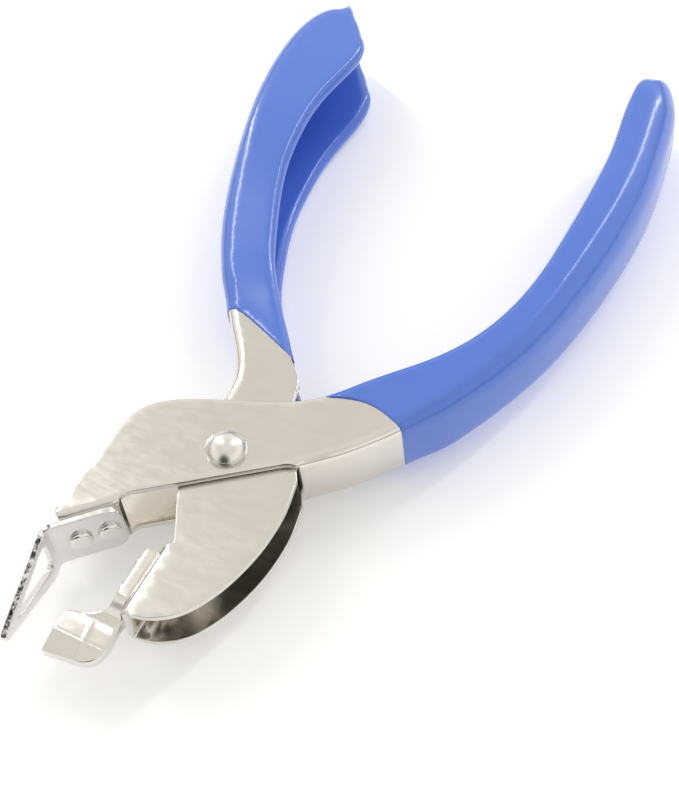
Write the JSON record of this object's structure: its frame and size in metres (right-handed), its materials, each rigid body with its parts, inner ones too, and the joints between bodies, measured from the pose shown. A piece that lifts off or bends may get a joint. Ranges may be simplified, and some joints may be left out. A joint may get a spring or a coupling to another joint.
{
  "type": "snap setter pliers",
  "caption": "Hand pliers of riveted pressed-steel channel, with a bent plate jaw that has a tapered window, a set-back pad jaw and dipped vinyl handles",
  "frame": {"origin": "middle of the base of the bounding box, with the pliers lying on their side", "axes": "+X runs from the jaws to the handle ends, +Z is the pivot rivet's axis and points up out of the cheek, +Y runs across the jaws from the outer lever's handle to the inner lever's handle"},
  "size_m": [0.1434, 0.0746, 0.0186],
  "materials": {
    "lever_steel": "bright nickel-plated pressed sheet steel, polished, sheared edges left plain",
    "jaw_steel": "nickel-plated plate, slightly satin, sheared edges rough",
    "rivet_steel": "bright nickel-plated rivet head",
    "spring_steel": "drawn spring wire, grey",
    "grip_vinyl": "glossy dipped soft vinyl, blue"
  },
  "bodies": {
    "outer_half": {"outer_lever": "lever_steel", "outer_lever_grip": "grip_vinyl", "pivot_rivet": "rivet_steel", "window_jaw": "jaw_steel", "window_jaw_rivet_tip": "rivet_steel", "window_jaw_rivet_root": "rivet_steel", "return_spring": "spring_steel"},
    "inner_half": {"inner_lever": "lever_steel", "inner_lever_grip": "grip_vinyl", "pad_jaw": "jaw_steel", "pad_jaw_rivet_tip": "rivet_steel", "pad_jaw_rivet_root": "rivet_steel"}
  },
  "joints": [
    {"name": "pivot", "type": "hinge", "parent": "outer_half", "child": "inner_half", "pos_m": [-0.02966, 0.00204, 0.0093], "axis": [0, 0, 1], "range_deg": [-8.5, 0], "stiffness_Nm_per_rad": 0.07, "springref_deg": 28.65, "deforming": ["return_spring"]}
  ]
}
